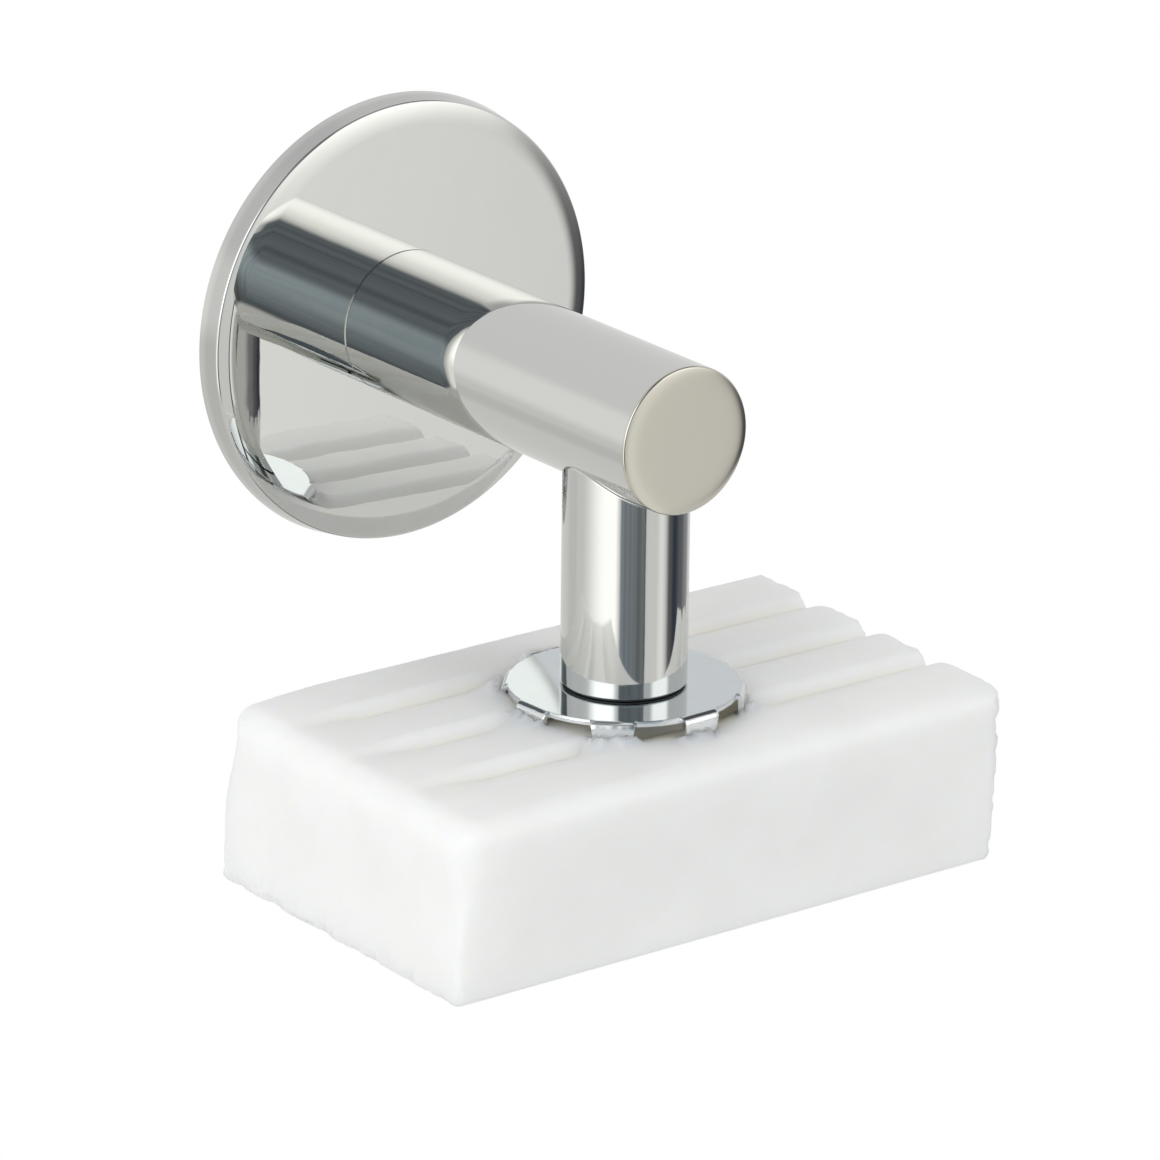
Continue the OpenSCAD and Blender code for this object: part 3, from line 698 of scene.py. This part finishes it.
def soap_bar(material):
    """White bar: three grooves that fade out towards the left end, torn ends, and soap pushed up round the claws"""
    half = np.array([SOAP_L, SOAP_W, SOAP_H]) / 2
    floors = [SOAP_W / 2 - FIRST_GROOVE - i * GROOVE_STEP for i in range(GROOVES)]
    start, faces = box_grid((
        soap_samples(half[0], [(0, 19, 0.5)]),
        soap_samples(half[1], [(y + 0.3, 1.8, 0.28) for y in floors] + [(0, 19, 0.6)]),
        soap_samples(half[2], []),
    ))
    spare, skin_depth, halvings = 0.8, 4.5, 18
    outer = start * (1 + spare / half)
    core = np.clip(start, -half + skin_depth, half - skin_depth)

    def rough(scale, seed, detail=4):
        """An uneven surface: for each point a number about 0, that changes over a length of scale"""
        shift = Vector((seed * 7.3, seed * 3.1, seed * 5.7))
        return np.array([noise.fractal(Vector(p) / scale + shift, 0.9, 2.1, detail) for p in start])

    swell, grain, chips, crumbs = rough(9.0, 1), rough(2.2, 2), rough(3.2, 3), rough(1.1, 4, 2)
    spin = np.array(Matrix.Rotation(SET_TURN, 3, "Z") @ Matrix.Rotation(SOAP_PITCH, 3, "X")
                    @ Matrix.Rotation(SOAP_ROLL, 3, "Y"))

    def to_world(p):
        local = p + np.array([SOAP_SHIFT, 0, -half[2]])
        return local @ spin.T + np.array([0, -POST_DEPTH, SOAP_TOP])

    def groove(p):
        """Depth of the grooves: a steep and a gentle wall that meet in a floor, blunter where they fade out"""
        depth = np.zeros(len(p))
        fade = GROOVE_LEFT + (1 - GROOVE_LEFT) * smooth((p[:, 0] + half[0] - 1.0) / FADE_LENGTH)
        for y in floors:
            d = (p[:, 1] - y) / (1 + 0.5 * (1 - fade))
            t = np.where(d > 0, d / STEEP_W, -d / GENTLE_W)
            t = np.sqrt(np.clip(t, 0, 1) ** 2 + 0.004 + 0.06 * (1 - fade))
            depth = np.maximum(depth, 1 - np.sin(np.clip(t, 0, 1) * math.pi / 2))
        return GROOVE_D * depth * fade

    def fillet(a, b, r):
        """Joins two surfaces, each given as the distance outside it, by an edge of radius r"""
        both = np.maximum(a, b)
        inside = (a > -r) & (b > -r)
        return np.where(inside, np.hypot(np.maximum(a + r, 0), np.maximum(b + r, 0)) - r, both)

    def raised(p):
        """How far the claws have pushed the soap up round them, and how much of a groove they have filled"""
        world = to_world(p)
        r = np.hypot(world[:, 0], world[:, 1] + POST_DEPTH)
        a = np.arctan2(world[:, 1] + POST_DEPTH, world[:, 0]) - SET_TURN
        off = np.abs((a * CLAWS / (2 * math.pi) + 0.5) % 1 - 0.5) * 2 * math.pi / CLAWS * r
        beside, beside_fade = 2.5, 1.8
        rim_start, rim_rise, rim_end, rim_fade = 14.9, 0.5, 15.8, 1.3
        filled_at, filled_width = 16, 2.2
        near = 1 - smooth((off - beside) / beside_fade)
        outside_claws = smooth((r - rim_start) / rim_rise) * np.exp(-(np.maximum(r - rim_end, 0) / rim_fade) ** 2)
        lift = 0.6 + 1.0 * np.clip(chips, -0.4, 0.5) + 0.9 * np.clip(crumbs, -0.3, 0.5)
        return near * outside_claws * lift, near * np.exp(-((r - filled_at) / filled_width) ** 2)

    def outside(p):
        """Above 0 outside the bar, and below 0 inside it"""
        x, y, z = p.T
        lift, filled = raised(p)
        fall_off = TOP_FALL * np.clip((FADE_LENGTH - half[0] - x) / FADE_LENGTH, 0, 1) ** 2
        top = z - half[2] + groove(p) * (1 - 0.8 * filled) + fall_off - lift + 0.06 * swell
        bottom = -z - half[2]
        r_long = np.where((y < 0) & (z > 0), SOAP_EDGE, SOAP_LOW_EDGE)
        upright = np.where(z > 0, top, bottom)
        body = fillet(upright, np.abs(y) - half[1] + 0.05 * np.abs(swell), r_long)
        # the left end is torn along its foot only and soft at the top, the right one is torn all over
        left = x < 0
        high = smooth((z + 2) / 10)
        low = smooth((-z - half[2] + 4) / 4)
        edge = smooth((np.abs(y) - half[1] + 4) / 4)
        torn = np.where(left, 0.08 + 0.9 * low, 0.25 + 1.0 * np.maximum(edge, low) + 0.3 * high)
        end = np.abs(x) - half[0] + 0.28 * np.abs(swell) + torn * np.abs(chips) + 0.05 * grain
        r_end = np.where(left, 1.1 + 2.6 * high, 0.5 + 0.2 * swell)
        return fillet(body, end, np.clip(r_end, 0.3, 3.8))

    # each point slides between the core and a box just outside the bar until it meets the surface
    low, high = np.zeros(len(start)), np.ones(len(start))
    for _ in range(halvings):
        mid = (low + high) / 2
        out = outside(outer + (core - outer) * mid[:, None]) > 0
        low, high = np.where(out, mid, low), np.where(out, high, mid)
    shaped = outer + (core - outer) * high[:, None]
    mesh = bpy.data.meshes.new("soap_bar_ribbed")
    mesh.from_pydata((to_world(shaped) * MM).tolist(), [], faces)
    mesh.polygons.foreach_set("use_smooth", [True] * len(faces))
    # the grooves' depth, kept on the mesh for the painted shade in them
    groove_shade_attribute = mesh.attributes.new("groove", "FLOAT", "POINT")
    groove_shade_mask = np.clip(groove(shaped) / GROOVE_D, 0, 1) * (shaped[:, 2] > half[2] - 4)
    groove_shade_attribute.data.foreach_set("value", groove_shade_mask.astype(np.float32))
    mesh.materials.append(material)
    made = bpy.data.objects.new("soap_bar_ribbed", mesh)
    bpy.context.scene.collection.objects.link(made)
    claw_slots(made)
    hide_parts("soap_bar")
    return made


def claw_slots(soap):
    """Cuts the slots that the claws have pressed into the soap"""
    room, foot_taper, high, low = 0.14, 0.35, DISC_TOP - DISC_T + 0.5, DISC_TOP - CLAW_H - 0.1
    inside, beyond = FOLD_R + CLAW_BEND - DISC_T - room, FOLD_R + CLAW_BEND + room
    bm = bmesh.new()
    for claw in range(CLAWS):
        spin = Matrix.Rotation(SET_TURN + claw * 2 * math.pi / CLAWS, 3, "Z")
        ring = []
        for z, half in ((low, CLAW_W / 2 - foot_taper), (high, CLAW_W / 2 + room)):
            for r, side in ((inside, -1), (beyond, -1), (beyond, 1), (inside, 1)):
                point = spin @ Vector((r, side * half, 0)) + Vector((0, -POST_DEPTH, z))
                ring.append(bm.verts.new(point * MM))
        for keys in ((3, 2, 1, 0), (4, 5, 6, 7), (0, 1, 5, 4), (1, 2, 6, 5), (2, 3, 7, 6), (3, 0, 4, 7)):
            bm.faces.new([ring[k] for k in keys])
    bmesh.ops.recalc_face_normals(bm, faces=bm.faces)
    cut_out(soap, bm)


def satin_soap():
    """Satin white that lets light in a little, with painted warm shade in the grooves and under the disc's rim"""
    material, g = new_material("satin_soap")
    where, x, y, z = g.place()
    groove_shade_mask = g.add("ShaderNodeAttribute", {"attribute_name": "groove"})[2]
    cloud = g.noise(where, 90.0, 3.0)
    fine = g.noise(where, 900.0, 4.0, 0.6)
    y = y + POST_DEPTH * MM
    radius = (x * x + y * y) ** 0.5 * 1000
    # painted shade: the soap under the disc's rim yellower
    under_rim_shade_mask = radius.step(5, 13) * (1 - radius.step(14.2, 16)) * z.step(-0.044, -0.041)
    tone = g.mix(cloud.step(0.35, 0.7), SOAP_DARKER, SOAP_LIGHTER)
    # painted shade: the grooves' floors yellower
    tone = g.mix(groove_shade_mask.step(0.3, 1.0) * 0.7, tone, SOAP_GROOVE_SHADE)
    tone = g.mix(under_rim_shade_mask * 0.5, tone, SOAP_UNDER_RIM_SHADE)
    g.finish(g.add("ShaderNodeBsdfPrincipled", None, Base_Color=tone, Roughness=0.32 + cloud * 0.16,
                   IOR=1.47, Subsurface_Weight=0.9, Subsurface_Radius=(0.008, 0.0074, 0.0064),
                   Subsurface_Scale=1.0, Normal=g.bump(fine * 0.4 + cloud, 0.12, 0.0002))[0])
    return material


set_camera()
studio_world()
studio_floor()
for lamp_place, lamp_radius, lamp_power in LAMPS:
    soft_lamp(lamp_place, lamp_radius, lamp_power)

steel = polished_steel()
machined = plain("machined_steel", (0.45, 0.46, 0.47), 1.0, 0.32)
zinc = zinc_plate()
nickel = plain("nickel_plate", (0.52, 0.5, 0.46), 1.0, 0.22)
black_plastic = plain("black_plastic", (0.02, 0.021, 0.023), 0.0, 0.5)
foam = plain("black_foam", (0.035, 0.035, 0.035), 0.0, 0.9, spread=0.3, scale=900.0)
soap_white = satin_soap()

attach(cover_plate(steel), "root")
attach(arm(steel), "root")
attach(post_tube(steel), "root")
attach(claw_disc(zinc), "claw_disc")
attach(soap_bar(soap_white), "soap_bar")

finishes = {
    "adhesive_pad": foam, "magnet_holder": black_plastic, "magnet_cup": nickel, "ring_magnet": nickel,
    "claw_disc": zinc, "soap_bar": soap_white,
}
for name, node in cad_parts.items():
    node.data.materials.clear()
    node.data.materials.append(finishes.get(name, machined))

bpy.context.scene.view_settings.view_transform = "Standard"
